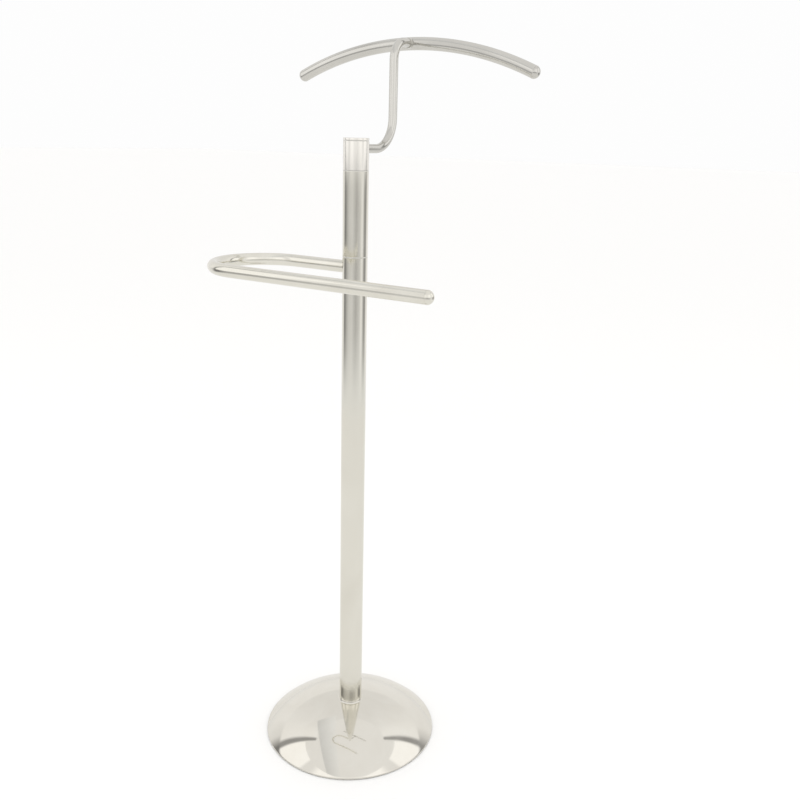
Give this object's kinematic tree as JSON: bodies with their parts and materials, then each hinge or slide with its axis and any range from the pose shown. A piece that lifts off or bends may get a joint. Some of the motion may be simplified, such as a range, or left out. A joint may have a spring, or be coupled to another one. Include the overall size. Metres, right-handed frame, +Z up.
{
  "type": "valet stand",
  "caption": "Polished steel valet stand: weighted dome base, slim column, swivelling hairpin trouser rail and an arched jacket hanger on a bent arm.",
  "frame": {"origin": "centre of the base's underside, on the floor and on the column's axis", "axes": "+Z up along the column; +X along the free end of the trouser rail; +Y to the back, where the jacket hanger stands"},
  "size_m": [0.4613, 0.3369, 1.2],
  "materials": {
    "polished_steel": "polished",
    "mirror_dome": "mirror polished",
    "floor_rubber": "matte",
    "plated_steel": "zinc plated",
    "ballast_iron": "as cast",
    "turned_aluminium": "turned",
    "swivel_plastic": "matte",
    "axle_brass": "turned"
  },
  "bodies": {
    "stand": {"base_cover": "mirror_dome", "base_pad": "floor_rubber", "base_plate": "plated_steel", "base_weight": "ballast_iron", "base_plate_screws": "plated_steel", "centre_spacer": "plated_steel", "tie_rod_washer": "plated_steel", "tie_rod_nut": "plated_steel", "tie_rod": "plated_steel", "foot_plug": "turned_aluminium", "lower_tube": "polished_steel", "lower_tube_plug": "turned_aluminium", "rail_axle": "axle_brass", "middle_tube": "polished_steel", "middle_tube_lower_plug": "turned_aluminium", "middle_tube_upper_plug": "turned_aluminium", "hanger_axle": "axle_brass", "rail_lower_washer": "swivel_plastic", "rail_upper_washer": "swivel_plastic", "hanger_lower_washer": "swivel_plastic", "hanger_upper_washer": "swivel_plastic", "top_cap": "polished_steel"},
    "rail": {"rail_sleeve": "polished_steel", "rail_core": "swivel_plastic", "trouser_rail": "polished_steel", "rail_plug": "turned_aluminium", "rail_screw": "plated_steel", "rail_end_cap": "polished_steel"},
    "hanger": {"hanger_sleeve": "polished_steel", "hanger_core": "swivel_plastic", "hanger_arm": "polished_steel", "shoulder_bar": "polished_steel", "arm_lower_collar": "polished_steel", "arm_lower_plug": "turned_aluminium", "arm_lower_screw": "plated_steel", "arm_upper_collar": "polished_steel", "arm_upper_plug": "turned_aluminium", "shoulder_bar_washer": "polished_steel", "shoulder_bar_screw": "polished_steel", "left_shoulder_cap": "polished_steel", "right_shoulder_cap": "polished_steel"}
  },
  "joints": [
    {"name": "rail_swivel", "type": "hinge", "parent": "stand", "child": "rail", "pos_m": [0, 0, 0.846], "axis": [0, 0, 1], "continuous": true},
    {"name": "hanger_swivel", "type": "hinge", "parent": "stand", "child": "hanger", "pos_m": [0, 0, 1.027], "axis": [0, 0, 1], "continuous": true}
  ]
}
